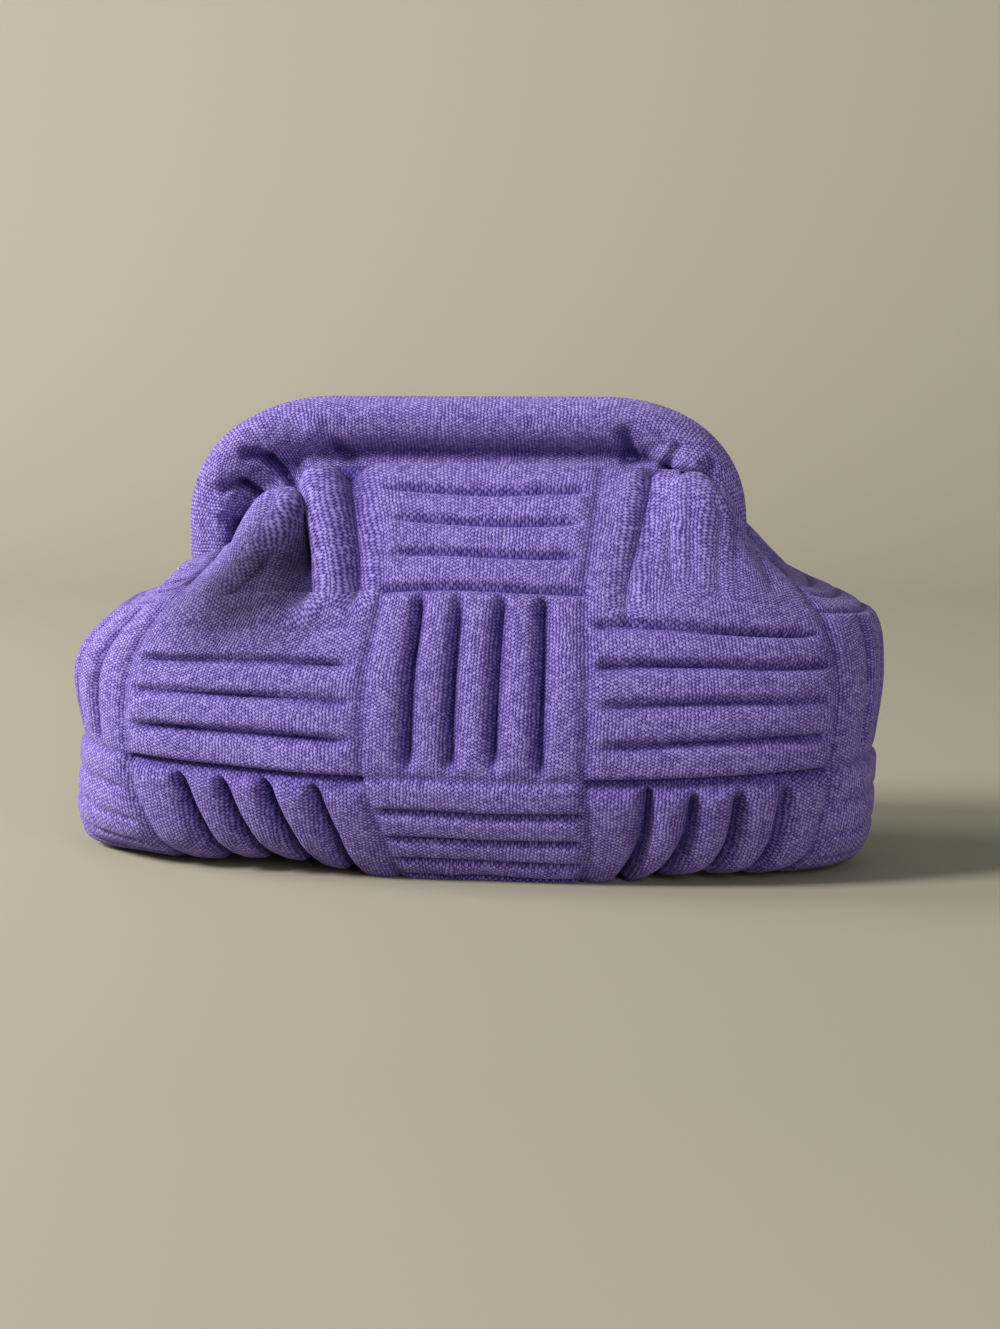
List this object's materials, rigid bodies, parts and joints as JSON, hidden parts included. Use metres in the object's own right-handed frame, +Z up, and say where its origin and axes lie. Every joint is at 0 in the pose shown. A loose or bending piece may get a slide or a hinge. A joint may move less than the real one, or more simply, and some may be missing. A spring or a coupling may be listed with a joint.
{
  "type": "knit clutch bag",
  "caption": "Soft knit clutch: a pillow-like pouch of basket-weave ribbed blocks, gathered onto a hinged frame whose two jaws are wrapped in the same knit.",
  "frame": {"origin": "middle of the bag's footprint, on the surface that the sole rests on", "axes": "+X along the bag's length towards its right end, +Y from the front to the back, +Z up"},
  "size_m": [0.365, 0.1706, 0.2075],
  "materials": {
    "pouch_knit": "matt, slightly fuzzy violet yarn, knitted as blocks of ribs",
    "frame_knit": "matt, slightly fuzzy violet yarn, knitted plain and stretched over the frame"
  },
  "bodies": {
    "root": {"pouch": "pouch_knit", "front_jaw": "frame_knit", "back_jaw": "frame_knit", "left_hinge_cover": "frame_knit", "right_hinge_cover": "frame_knit"}
  },
  "joints": []
}
